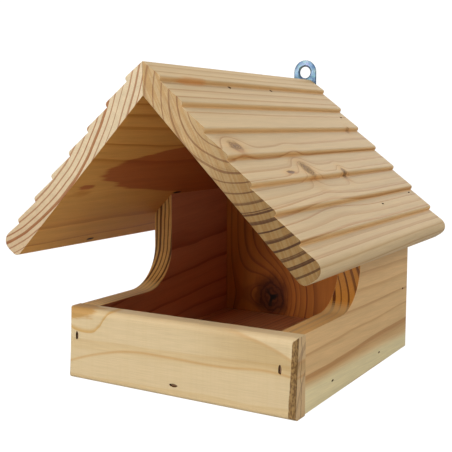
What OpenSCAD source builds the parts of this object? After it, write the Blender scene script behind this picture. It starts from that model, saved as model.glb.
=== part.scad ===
// Open-fronted wooden bird house, hung from a plate above its ridge.
// X runs across the front, +Y to the wall behind and +Z up. The origin is the middle of the
// box's underside, without the roof's overhang.

/* [Box] */
// Width across the outer faces of the side boards
body_w = 160; // [150:1:175]
// Depth from the face of the front board to the back of the back board
body_d = 186; // [170:1:210]
// Thickness of the side, back and floor boards
board_t = 15; // [12:0.5:18]
// Thickness of the front board
front_t = 12; // [10:0.5:15]
// Height of the front board and of the low side walls behind it
front_h = 46.5; // [38:0.5:55]
// How far each end of the front board stands past the side board
front_proud = 0.8; // [0:0.1:1.5]
// Radius worked along the front board's top edge and its two ends
front_round = 4.5; // [2:0.5:6]
// Radius worked along the front board's bottom edge
front_low_round = 2.5; // [1:0.5:3]

/* [Side notch] */
// Depth of the notch, from the front board's face to its upright edge
notch_d = 94; // [80:1:100]
// Radius in the corner of the notch
notch_r = 29.5; // [20:0.5:32]

/* [Roof] */
// Height of the inner corner of the ridge
apex_h = 177.4; // [172:0.2:190]
// Slope of both roof boards below level
roof_pitch = 44.8; // [44:0.1:46]
// How far the roof stands out in front of the box
roof_overhang = 27; // [15:1:35]
// Thickness of a roof board where it meets the other one
ridge_t = 13.2; // [12:0.1:13.6]
// Thickness in the valley of each milled course
valley_t = 13.3; // [12.5:0.1:14]
// Height of each course's step
step_h = 2.6; // [2:0.1:3]
// Number of steps down each board
steps = 7; // [5:1:7]
// Length of one course down the slope
course = 19.7; // [19:0.05:19.8]
// First valley, measured down the slope from the inner corner of the ridge
first_valley = 2.3; // [2:0.05:3]
// How far each step's foot lies down the slope from its nose
nose_lean = 0.45; // [0.2:0.05:0.8]
// Radius of each nose
nose_r = 1.8; // [0.8:0.1:1.9]
// Length of a board down the slope, from the ridge's inner corner to the eave's upper corner
slope_l = 140.4; // [139:0.2:145]
// Thickness at the eave's upper corner, before it is rounded
eave_t = 16.6; // [15.6:0.1:17]
// How far the eave's end leans back under the roof
eave_lean = 3.2; // [0:0.2:4]
// Radius of the eave's upper corner
eave_top_r = 6; // [4:0.5:7]
// Radius of the eave's lower corner
eave_low_r = 4.5; // [2:0.5:5]

/* [Hanger] */
// Width of the plate, which is round at both ends
plate_w = 18.2; // [16:0.2:20]
// Length of the plate over its round ends
plate_l = 70; // [64:1:72]
// Thickness of the plate
plate_t = 1.5; // [1:0.1:2]
// Diameter of the hole that goes over the hook
hook_hole_d = 8.6; // [7:0.1:9]
// Height of the top of the plate
plate_top = 210.8; // [208:0.2:213]
// Offset of the plate from the middle of the roof
plate_x = -4.4; // [-5:0.1:0]
// Diameter of the two screws' heads
screw_head_d = 7; // [6:0.5:8]
// Diameter of the screws' shanks
screw_d = 3.5; // [3:0.1:3.8]
// Length of the screws under the head
screw_l = 13; // [10:0.5:14]

/* [Staples] */
// Width over the crown of a staple
crown_w = 5.7; // [5:0.1:6.5]
// Thickness of the wire in the plane of the staple
wire_t = 0.9; // [0.7:0.05:1.1]
// Width of the wire across the plane of the staple
wire_w = 1.2; // [1:0.05:1.4]
// Length of the staples that fix the box and the roof
leg_l = 22; // [20:0.5:24]
// Length of the shorter staples across the ridge
ridge_leg_l = 18; // [15:0.5:19]
// Depth of the crowns below the face of the wood
sink = 1; // [0.5:0.1:1.5]
// Play of the driving slot around the crown
slot_play = 0.15; // [0.1:0.05:0.3]

/* [Hidden] */
$fn = 64;

cut = 1; // how far a cutting shape runs past the face it opens

// The box
half_w = body_w / 2;
inner_w = body_w - 2 * board_t;
front_y = -body_d / 2;
back_y = body_d / 2;
front_inner_y = front_y + front_t;
back_inner_y = back_y - board_t;
inner_d = back_inner_y - front_inner_y;
notch_y = front_y + notch_d;

// The roof, in its own plane: first the distance down the slope, then the height above it
roof_l = roof_overhang + body_d;
rise = step_h / (course - nose_lean);
rise_angle = atan(rise);
step_angle = atan(nose_lean / step_h);
last_valley = first_valley + (steps - 1) * course;
eave_rise_angle = atan((eave_t - valley_t) / (slope_l - last_valley));
eave_angle = -atan(eave_lean / eave_t);

// The hanger
plate_end_r = plate_w / 2;
hook_z = plate_top - plate_end_r;
lower_screw_z = plate_top - plate_l + plate_end_r;
upper_screw_z = lower_screw_z + 16;
screw_clear_r = screw_d / 2 + 0.25;
head_h = 2.2;
head_edge_h = 1.2;
tip_l = 3;
cross_w = 1;
cross_l = 4;
cross_depth = 1.2;

// The staples' places
front_staple_left = [-74, 28.5];
front_staple_right = [71, 28];
floor_staple_z = 7.6;
side_floor_staples = [[-41, 9.5], [37.5, 8.2]];
side_back_staple = [83.5, 44.6];
ridge_staples_y = [-48, 6];
ridge_staple_s = first_valley + 1.6;
roof_back_staple = [82.7, 28.7];
roof_side_staples = [[20.3, 108], [82.7, 103.3]];

pale_wood = [0.87, 0.74, 0.54];
tan_wood = [0.82, 0.67, 0.47];
zinc = [0.72, 0.78, 0.84];
steel = [0.45, 0.44, 0.42];

// Outlines

function unit(angle) = [cos(angle), sin(angle)];

// The points of a rounded corner, between faces whose outward normals point at two angles
function round_corner(corner, r, from, to, pieces = 6) =
    let (centre = corner - r * (unit(from) + unit(to)) / (1 + unit(from) * unit(to)))
    [for (i = [0:pieces]) centre + r * unit(from + (to - from) * i / pieces)];

// Thickness of a roof board at a distance down the slope, away from the noses
function roof_top(s) = valley_t + ((s - first_valley + course) % course) * rise;

// The milled section of a roof board, in the plane of its end grain
function roof_section() =
    concat(
        [[0, 0], [-ridge_t * tan(roof_pitch), ridge_t]],
        [for (k = [0:steps - 1])
            let (valley = first_valley + k * course)
            each concat(
                round_corner([valley - nose_lean, valley_t + step_h], nose_r,
                             90 + rise_angle, step_angle),
                [[valley, valley_t]])],
        round_corner([slope_l, eave_t], eave_top_r, 90 + eave_rise_angle, eave_angle, 10),
        round_corner([slope_l - eave_lean, 0], eave_low_r, eave_angle, -90));

// Height of the roof's underside at a distance from the middle
function underside(x) = apex_h - x * tan(roof_pitch);

// Places: each moves its children so that Z points out of the wood and X lies along a crown

module face_front(x, z) translate([x, front_y, z]) rotate([90, 0, 0]) children();

module face_back(x, z) translate([x, back_y, z]) rotate([-90, 0, 0]) children();

module face_right(x, y, z) translate([x, y, z]) rotate([0, 90, 0]) rotate(90) children();

module on_roof(y, s)
    translate([0, y, apex_h]) rotate([0, roof_pitch, 0]) translate([s, 0, roof_top(s)])
        rotate(90) children();

module upright() rotate(90) children();

module at_left() mirror([1, 0, 0]) children();

module at_front_left() face_front(front_staple_left[0], front_staple_left[1]) upright() children();

module at_front_right() face_front(front_staple_right[0], front_staple_right[1]) upright() children();

module at_front_floor() face_front(0, floor_staple_z) children();

module at_back_floor() face_back(0, floor_staple_z) children();

module at_side_floor() for (p = side_floor_staples) face_right(half_w, p[0], p[1]) children();

module at_side_back() face_right(half_w, side_back_staple[0], side_back_staple[1]) children();

module at_ridge()
    for (y = ridge_staples_y)
        translate([0, y, apex_h]) rotate([0, roof_pitch, 0])
            translate([ridge_staple_s, 0, roof_top(ridge_staple_s)])
                rotate([0, 90 - roof_pitch, 0]) rotate(90) children();

module at_roof_back() on_roof(roof_back_staple[0], roof_back_staple[1]) children();

module at_roof_side() for (p = roof_side_staples) on_roof(p[0], p[1]) children();

module at_screw(z) face_back(plate_x, z) children();

// Fasteners

// A narrow-crown staple, its crown's back sunk below the face and its legs ground to points
module staple(length) {
    half = crown_w / 2;
    inner = half - wire_t;
    translate([0, wire_w / 2, -sink]) rotate([90, 0, 0]) linear_extrude(wire_w)
        polygon(concat(
            [[-inner, -wire_t], [-inner, -length], [-half, -length + wire_t]],
            round_corner([-half, 0], wire_t, 180, 90, 4),
            round_corner([half, 0], wire_t, 90, 0, 4),
            [[half, -length + wire_t], [inner, -length], [inner, -wire_t]]));
}

// What a staple takes out of the wood: its own shape and the slot that the driver leaves
module staple_cut(length) {
    staple(length);
    slot_l = crown_w + 2 * slot_play;
    slot_w = wire_w + 2 * slot_play;
    translate([-slot_l / 2, -slot_w / 2, -sink]) cube([slot_l, slot_w, sink + cut]);
}

// The screw's shank and point, below the face that its head bears on
module screw_shank()
    rotate_extrude()
        polygon([[0, 0], [screw_d / 2, 0], [screw_d / 2, -screw_l + tip_l], [0, -screw_l]]);

// A pan-head wood screw with a cross recess
module screw() {
    head_r = screw_head_d / 2;
    union() {
        screw_shank();
        difference() {
            rotate_extrude()
                polygon([[0, 0], [head_r, 0], [head_r, head_edge_h],
                         [head_r - 0.5, head_h - 0.4], [head_r - 1.4, head_h], [0, head_h]]);
            for (angle = [0, 90])
                rotate(angle)
                    translate([-cross_l / 2, -cross_w / 2, head_h - cross_depth])
                        cube([cross_l, cross_w, cross_depth + cut]);
        }
    }
}

// Boards

// Low board across the front, with its face rounded over all round
module front_board() {
    half = half_w + front_proud;
    color(pale_wood)
        difference() {
            intersection() {
                translate([-half, 0, 0]) rotate([90, 0, 90]) linear_extrude(2 * half)
                    polygon(concat(
                        [[front_inner_y, 0]], [[front_inner_y, front_h]],
                        round_corner([front_y, front_h], front_round, 90, 180),
                        round_corner([front_y, 0], front_low_round, 180, 270)));
                linear_extrude(front_h)
                    polygon(concat(
                        [[half, front_inner_y]], [[-half, front_inner_y]],
                        round_corner([-half, front_y], front_round, 180, 270),
                        round_corner([half, front_y], front_round, 270, 360)));
            }
            at_front_left() staple_cut(leg_l);
            at_front_right() staple_cut(leg_l);
            at_front_floor() staple_cut(leg_l);
        }
}

// Side board on the right, without its fixings: low at the front, up to the roof behind
module side_blank() {
    intersection() {
        translate([half_w - board_t, 0, 0]) rotate([90, 0, 90]) linear_extrude(board_t)
            difference() {
                translate([front_inner_y, 0]) square([back_y - front_inner_y, apex_h]);
                translate([front_inner_y - cut, front_h])
                    square([notch_y - notch_r - front_inner_y + cut, apex_h]);
                translate([front_inner_y - cut, front_h + notch_r])
                    square([notch_y - front_inner_y + cut, apex_h]);
                translate([notch_y - notch_r, front_h + notch_r]) circle(notch_r);
            }
        translate([0, back_y, 0]) rotate([90, 0, 0]) linear_extrude(body_d)
            polygon([[0, 0], [half_w, 0], [half_w, underside(half_w)], [0, apex_h]]);
    }
}

// What the staples take out of a side board, all but the one through the front
module side_fixings() {
    at_side_floor() staple_cut(leg_l);
    at_side_back() staple_cut(leg_l);
    at_roof_side() staple_cut(leg_l);
}

module left_side_board()
    color(tan_wood)
        difference() {
            at_left() side_blank();
            at_left() side_fixings();
            at_front_left() staple_cut(leg_l);
        }

module right_side_board()
    color(tan_wood)
        difference() {
            side_blank();
            side_fixings();
            at_front_right() staple_cut(leg_l);
        }

// Gable board between the sides, upright in the grain
module back_board() {
    half = inner_w / 2;
    color(tan_wood)
        difference() {
            translate([0, back_y, 0]) rotate([90, 0, 0]) linear_extrude(board_t)
                polygon([[-half, 0], [half, 0], [half, underside(half)],
                         [0, apex_h], [-half, underside(half)]]);
            at_back_floor() staple_cut(leg_l);
            at_side_back() staple_cut(leg_l);
            at_left() at_side_back() staple_cut(leg_l);
            at_roof_back() staple_cut(leg_l);
            at_left() at_roof_back() staple_cut(leg_l);
            at_screw(upper_screw_z) translate([0, 0, plate_t]) screw_shank();
            at_screw(lower_screw_z) translate([0, 0, plate_t]) screw_shank();
        }
}

// Floor between the four upright boards
module floor_board()
    color(tan_wood)
        difference() {
            translate([-inner_w / 2, front_inner_y, 0]) cube([inner_w, inner_d, board_t]);
            at_front_floor() staple_cut(leg_l);
            at_back_floor() staple_cut(leg_l);
            at_side_floor() staple_cut(leg_l);
            at_left() at_side_floor() staple_cut(leg_l);
        }

// Roof board on the right: a stepped moulding, mitred at the ridge and rounded at the eave
module roof_blank()
    translate([0, back_y, apex_h]) rotate([90, 0, 0]) linear_extrude(roof_l)
        rotate(-roof_pitch) polygon(roof_section());

// What the staples take out of a roof board, all but those across the ridge
module roof_fixings() {
    at_roof_back() staple_cut(leg_l);
    at_roof_side() staple_cut(leg_l);
}

module left_roof_board()
    color(pale_wood)
        difference() {
            at_left() roof_blank();
            at_left() roof_fixings();
            at_ridge() staple_cut(ridge_leg_l);
        }

module right_roof_board()
    color(pale_wood)
        difference() {
            roof_blank();
            roof_fixings();
            at_ridge() staple_cut(ridge_leg_l);
        }

// Hanger

// Flat plate with a large hole above the ridge and two screw holes below it
module hanger_plate()
    color(zinc)
        face_back(plate_x, hook_z) linear_extrude(plate_t)
            difference() {
                union() {
                    circle(plate_end_r);
                    translate([0, hook_z - lower_screw_z]) circle(plate_end_r);
                    translate([-plate_end_r, 0]) square([plate_w, hook_z - lower_screw_z]);
                }
                circle(hook_hole_d / 2);
                for (z = [upper_screw_z, lower_screw_z])
                    translate([0, hook_z - z]) circle(screw_clear_r);
            }

module upper_hanger_screw()
    color(zinc) at_screw(upper_screw_z) translate([0, 0, plate_t]) screw();

module lower_hanger_screw()
    color(zinc) at_screw(lower_screw_z) translate([0, 0, plate_t]) screw();

// Staples

module left_front_staple() color(steel) at_front_left() staple(leg_l);

module right_front_staple() color(steel) at_front_right() staple(leg_l);

module front_floor_staple() color(steel) at_front_floor() staple(leg_l);

module back_floor_staple() color(steel) at_back_floor() staple(leg_l);

module left_floor_staples() color(steel) at_left() at_side_floor() staple(leg_l);

module right_floor_staples() color(steel) at_side_floor() staple(leg_l);

module left_back_staple() color(steel) at_left() at_side_back() staple(leg_l);

module right_back_staple() color(steel) at_side_back() staple(leg_l);

module ridge_staples() color(steel) at_ridge() staple(ridge_leg_l);

module left_roof_back_staple() color(steel) at_left() at_roof_back() staple(leg_l);

module right_roof_back_staple() color(steel) at_roof_back() staple(leg_l);

module left_roof_side_staples() color(steel) at_left() at_roof_side() staple(leg_l);

module right_roof_side_staples() color(steel) at_roof_side() staple(leg_l);

front_board();
left_side_board();
right_side_board();
back_board();
floor_board();
left_roof_board();
right_roof_board();
hanger_plate();
upper_hanger_screw();
lower_hanger_screw();
left_front_staple();
right_front_staple();
front_floor_staple();
back_floor_staple();
left_floor_staples();
right_floor_staples();
left_back_staple();
right_back_staple();
ridge_staples();
left_roof_back_staple();
right_roof_back_staple();
left_roof_side_staples();
right_roof_side_staples();
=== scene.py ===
"""Wall-hung bird house in planed softwood: everything that is seen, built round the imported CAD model."""

import math

import bmesh
import bpy
from mathutils import Matrix, Vector


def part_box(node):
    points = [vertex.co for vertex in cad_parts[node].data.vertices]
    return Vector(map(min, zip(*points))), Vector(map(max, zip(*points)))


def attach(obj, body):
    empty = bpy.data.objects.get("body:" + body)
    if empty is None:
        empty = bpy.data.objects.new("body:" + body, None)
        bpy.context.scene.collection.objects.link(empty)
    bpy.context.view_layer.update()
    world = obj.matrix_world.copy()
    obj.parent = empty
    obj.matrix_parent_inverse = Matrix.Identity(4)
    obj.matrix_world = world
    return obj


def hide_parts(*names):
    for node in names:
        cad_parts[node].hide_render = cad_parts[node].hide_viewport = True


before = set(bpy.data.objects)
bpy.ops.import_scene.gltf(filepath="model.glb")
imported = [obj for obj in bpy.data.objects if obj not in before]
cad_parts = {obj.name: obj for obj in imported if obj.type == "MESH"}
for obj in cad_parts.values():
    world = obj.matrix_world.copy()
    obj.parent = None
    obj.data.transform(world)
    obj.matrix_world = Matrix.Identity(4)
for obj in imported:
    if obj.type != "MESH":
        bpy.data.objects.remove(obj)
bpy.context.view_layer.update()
scene = bpy.context.scene
MM = 0.001


# ---- The camera ---------------------------------------------------------------------------
# A 66 mm lens, to the right of the open front and looking a little down.
LENS_MM = 66.0
SENSOR_MM = 36.0
CAMERA_PLACE = (0.2721, -0.4881, 0.1606)
CAMERA_TILT = math.radians(83.17)
CAMERA_SWING = math.radians(30.8)
camera_data = bpy.data.cameras.new("camera")
camera_data.lens = LENS_MM
camera_data.sensor_width = SENSOR_MM
camera = bpy.data.objects.new("camera", camera_data)
camera.location = CAMERA_PLACE
camera.rotation_euler = (CAMERA_TILT, 0.0, CAMERA_SWING)
scene.collection.objects.link(camera)
scene.camera = camera


# ---- Side boards --------------------------------------------------------------------------
# Two 15 mm boards of planed pine, cut away at the front in a J-shaped notch and bevelled along
# the top to lie under the roof. The face that looks into the box is darker red-brown, painted shade
# for the box's dark inside; the staples go in from outside.
ROOF_PITCH = math.radians(44.8)
NOTCH_DEPTH = 94 * MM
NOTCH_RADIUS = 29.5 * MM
NOTCH_SEGMENTS = 24
ARRIS = 0.45 * MM
ARRIS_ANGLE = math.radians(25)
SMOOTH_ANGLE = math.radians(32)
MARGIN = 1 * MM
CROWN = 5.7 * MM
CROWN_FLAT = 0.05 * MM
SLOT = (6 * MM, 2.1 * MM)
CLOSED_SLOT = (3.4 * MM, 1.25 * MM)
SLOT_REACH = 5 * MM
SLOT_SIDES = 9
SLOT_LIFT = 0.3
SLOT_RAGGED = 0.17
NOTCH_CLEARANCE = 5 * MM
NOTCH_HEADROOM = 50 * MM
NOTCH_ENDS = ((1, 0, 0), 0.75, 0.35)
apex_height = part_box("back_board")[1][2]
front_face_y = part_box("front_board")[0][1]
front_top_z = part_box("front_board")[1][2]


def only(piece):
    """Leaves just this piece selected and active."""
    bpy.ops.object.select_all(action="DESELECT")
    piece.select_set(True)
    bpy.context.view_layer.objects.active = piece


def settle():
    """Works the active piece's place, turn and size into its mesh."""
    bpy.ops.object.transform_apply(location=True, rotation=True, scale=True)


def block(name, low, high):
    """A rectangular blank between two corners, ready to be worked."""
    bpy.ops.object.select_all(action="DESELECT")
    bpy.ops.mesh.primitive_cube_add(size=1.0, location=(Vector(low) + Vector(high)) / 2)
    blank = bpy.context.object
    blank.name = name
    blank.data.name = name
    blank.scale = Vector(high) - Vector(low)
    settle()
    return blank


def pick(piece, kind, test):
    """In edit mode, selects the VERT, EDGE or FACE elements whose corners all pass the test."""
    bpy.ops.mesh.select_mode(type=kind)
    bpy.ops.mesh.select_all(action="DESELECT")
    mesh = bmesh.from_edit_mesh(piece.data)
    elements = {"VERT": mesh.verts, "EDGE": mesh.edges, "FACE": mesh.faces}[kind]
    for element in elements:
        corners = [element] if kind == "VERT" else element.verts
        if all(test(corner.co) for corner in corners):
            element.select_set(True)
    bmesh.update_edit_mesh(piece.data)


def worked(piece, kind, **settings):
    """Puts a modifier on a piece and applies it."""
    only(piece)
    modifier = piece.modifiers.new(kind.lower(), kind)
    for setting, value in settings.items():
        setattr(modifier, setting, value)
    bpy.ops.object.modifier_apply(modifier=modifier.name)


def saw(piece, point, outward):
    """Cuts a piece through a point, and drops what lies on the outward side."""
    only(piece)
    bpy.ops.object.mode_set(mode="EDIT")
    bpy.ops.mesh.select_all(action="SELECT")
    bpy.ops.mesh.bisect(plane_co=point, plane_no=outward, use_fill=True, clear_outer=True)
    bpy.ops.object.mode_set(mode="OBJECT")


def cut_away(piece, cutter):
    """Takes the cutter's shape out of a piece; the cut faces wear the cutter's material."""
    worked(piece, "BOOLEAN", object=cutter, operation="DIFFERENCE", solver="EXACT",
           material_mode="TRANSFER" if cutter.data.materials else "INDEX")
    bpy.data.objects.remove(cutter)


def ease_edges(piece):
    """Sands the sharp arrises to a small round."""
    worked(piece, "BEVEL", width=ARRIS, segments=3, limit_method="ANGLE", angle_limit=ARRIS_ANGLE)


def finish_faces(piece):
    """Smooth rounds between flat faces."""
    only(piece)
    bpy.ops.object.shade_smooth_by_angle(angle=SMOOTH_ANGLE)
    worked(piece, "WEIGHTED_NORMAL", keep_sharp=True)


def add(tree, kind, inputs=(), **settings):
    """A shader node with its settings, and each input fed by a socket or set to a value."""
    made = tree.nodes.new("ShaderNode" + kind)
    for setting, value in settings.items():
        setattr(made, setting, value)
    for socket, value in dict(inputs).items():
        if isinstance(value, bpy.types.NodeSocket):
            tree.links.new(value, made.inputs[socket])
        else:
            made.inputs[socket].default_value = value
    return made


def maths(tree, operation, first, second=0.0):
    """One sum on two numbers."""
    return add(tree, "Math", {0: first, 1: second}, operation=operation).outputs[0]


def fade(tree, value, low, high):
    """0 at low and 1 at high with a soft step between; the reverse when low is above high."""
    return add(tree, "MapRange", {0: value, 1: low, 2: high}, interpolation_type="SMOOTHSTEP").outputs[0]


def blend(tree, factor, first, second, how="MIX"):
    """Two colours mixed, or the second laid over the first in another way."""
    return add(tree, "Mix", {0: factor, 6: first, 7: second}, data_type="RGBA", blend_type=how).outputs[2]


def product(tree, *values):
    """Numbers multiplied together in turn."""
    total = values[0]
    for value in values[1:]:
        total = maths(tree, "MULTIPLY", total, value)
    return total


def varied(tree, noise, depth):
    """Noise turned into a brightness that swings by `depth` about 1."""
    return maths(tree, "ADD", product(tree, noise, depth), 1 - depth / 2)


def speckle(tree, place, stretch, detail=2.0):
    """Noise from 0 to 1 with its own count per metre along each axis."""
    drawn = add(tree, "VectorMath", {0: place, 1: stretch}, operation="MULTIPLY").outputs[0]
    return add(tree, "TexNoise", {"Vector": drawn, "Scale": 1.0, "Detail": detail}).outputs[0]


def new_group(name, inputs, outputs):
    """An empty shader group; every input and output is a number except those named Place."""
    group = bpy.data.node_groups.new(name, "ShaderNodeTree")
    for side, names in (("INPUT", inputs), ("OUTPUT", outputs)):
        for socket in names:
            kind = "NodeSocketVector" if socket == "Place" else "NodeSocketFloat"
            group.interface.new_socket(name=socket, in_out=side, socket_type=kind)
    return group, group.nodes.new("NodeGroupInput").outputs, group.nodes.new("NodeGroupOutput").inputs


# Growth rings round a pith on the X axis of Place, which runs along the grain. Each noise has its
# count per metre along and across the grain.
DRIFT_COUNT = (6, 20, 20)
RIPPLE_COUNT = (40, 170, 170)
STREAK_COUNT = (7, 230, 230)
FIBRE_COUNT = (55, 1700, 1700)
PORE_COUNT = (2100, 2100, 2100)
RIPPLE_SHARE = 0.06
PACE_COUNT = 0.4
PACE_SHARE = 0.6
FAINTEST_RING = 0.45
YEAR = ((0.55, 0.06), (0.76, 0.3), (0.85, 0.85), (0.91, 1.0), (0.97, 0.95))
rings_group, given, wanted = new_group(
    "growth_rings",
    ("Place", "Swell", "Ring Width", "Wander", "Seed"),
    ("Line", "Growth", "Tone", "Streak", "Fibre", "Pore"))
tree = rings_group
shifted = add(tree, "VectorMath", {0: given["Place"], 1: given["Seed"]}).outputs[0]
wander = maths(tree, "SUBTRACT", speckle(tree, shifted, DRIFT_COUNT), 0.5)
ripple = maths(tree, "SUBTRACT", speckle(tree, shifted, RIPPLE_COUNT, 3.0), 0.5)
wander = maths(tree, "ADD", wander, product(tree, ripple, RIPPLE_SHARE))
across_grain = add(tree, "VectorMath", {0: given["Place"], 1: (0, 1, 1)},
                   operation="MULTIPLY").outputs[0]
radius = add(tree, "VectorMath", {0: across_grain}, operation="LENGTH").outputs["Value"]
radius = maths(tree, "ADD", radius, product(tree, wander, given["Wander"]))
radius = maths(tree, "ADD", radius, given["Swell"])
years = maths(tree, "DIVIDE", radius, given["Ring Width"])
pace_at = maths(tree, "ADD", product(tree, years, PACE_COUNT), given["Seed"])
pace = add(tree, "TexNoise", {"W": pace_at}, noise_dimensions="1D").outputs[0]
years = maths(tree, "ADD", years, product(tree, pace, PACE_SHARE))
season = maths(tree, "FRACT", years)
growth = add(tree, "ValToRGB", {0: season})
ramp = growth.color_ramp
ramp.elements[0].color = (0, 0, 0, 1)
ramp.elements[1].color = (0, 0, 0, 1)
for stop, level in YEAR:
    element = ramp.elements.new(stop)
    element.color = (level, level, level, 1)
year_number = maths(tree, "ADD", maths(tree, "FLOOR", years), given["Seed"])
tone = add(tree, "TexWhiteNoise", {"W": year_number}, noise_dimensions="1D").outputs["Value"]
strength = maths(tree, "ADD", product(tree, tone, 1 - FAINTEST_RING), FAINTEST_RING)
tree.links.new(product(tree, growth.outputs[0], strength), wanted["Line"])
tree.links.new(growth.outputs[0], wanted["Growth"])
tree.links.new(tone, wanted["Tone"])
tree.links.new(speckle(tree, shifted, STREAK_COUNT, 3.0), wanted["Streak"])
tree.links.new(speckle(tree, shifted, FIBRE_COUNT, 3.0), wanted["Fibre"])
tree.links.new(speckle(tree, shifted, PORE_COUNT), wanted["Pore"])


# A knot of radius 1 about the Z axis of Place, with a crack like a star.
KNOT_ROUGH_COUNT = (1.6, 1.6, 1.6)
KNOT_ROUGH = 0.9
KNOT_SWELL_FALL = -0.3
KNOT_EDGE = (1.15, 0.7)
KNOT_RING_COUNT = 20.0
KNOT_RING_EDGE = (-0.4, 1.0)
CRACK_ARMS = 3
CRACK_EDGE = (0.2, 0.07)
CRACK_LENGTH = (0.75, 0.1)
knot_group, given, wanted = new_group("knot", ("Place", "Seed"), ("Swell", "Core", "Rings", "Crack"))
tree = knot_group
around = add(tree, "VectorMath", {0: given["Place"], 1: given["Seed"]}).outputs[0]
rough = maths(tree, "SUBTRACT", speckle(tree, around, KNOT_ROUGH_COUNT, 3.0), 0.5)
distance = add(tree, "VectorMath", {0: given["Place"]}, operation="LENGTH").outputs["Value"]
ragged = maths(tree, "ADD", distance, product(tree, rough, KNOT_ROUGH))
falling = product(tree, distance, distance, KNOT_SWELL_FALL)
tree.links.new(maths(tree, "EXPONENT", falling), wanted["Swell"])
tree.links.new(fade(tree, ragged, *KNOT_EDGE), wanted["Core"])
turns = maths(tree, "SINE", product(tree, ragged, KNOT_RING_COUNT))
tree.links.new(fade(tree, turns, *KNOT_RING_EDGE), wanted["Rings"])
axes = add(tree, "SeparateXYZ", {0: given["Place"]}).outputs
angle = maths(tree, "ADD", maths(tree, "ARCTAN2", axes[1], axes[0]), given["Seed"])
spoke = maths(tree, "ABSOLUTE", maths(tree, "SINE", product(tree, angle, CRACK_ARMS / 2)))
spoke = fade(tree, product(tree, spoke, ragged), *CRACK_EDGE)
heart = fade(tree, ragged, *CRACK_LENGTH)
tree.links.new(product(tree, spoke, heart), wanted["Crack"])


def facing(tree, direction, low, high):
    """Where the surface looks in a direction: 1 on faces square to it."""
    normal = add(tree, "NewGeometry").outputs["True Normal"]
    toward = add(tree, "VectorMath", {0: normal, 1: direction}, operation="DOT_PRODUCT").outputs["Value"]
    return fade(tree, toward, low, high)


def patch(tree, place, centre, turn, reach, ragged=0.5, soft=0.45):
    """A stain with ragged edges, fading out at its reach along and across the grain."""
    spot = add(tree, "Mapping", {0: place, 1: centre, 2: turn, 3: reach}, vector_type="TEXTURE").outputs[0]
    distance = add(tree, "VectorMath", {0: spot}, operation="LENGTH").outputs["Value"]
    edge = maths(tree, "SUBTRACT", speckle(tree, spot, (1.3, 2.6, 2.6), 3.0), 0.5)
    distance = maths(tree, "ADD", distance, product(tree, edge, ragged * 2))
    return fade(tree, distance, 1.0, 1.0 - soft)


HALO_TINT = (0.98, 0.8, 0.58)
KNOT_RING_TINT = (0.42, 0.3, 0.18)
SPLIT_COLOUR = (0.018, 0.007, 0.002)
END_FACING = (0.45, 0.9)
RING_CONTRAST = 0.3
PORE_DEPTH = 0.34
FIBRE_DEPTH = 0.3


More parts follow.
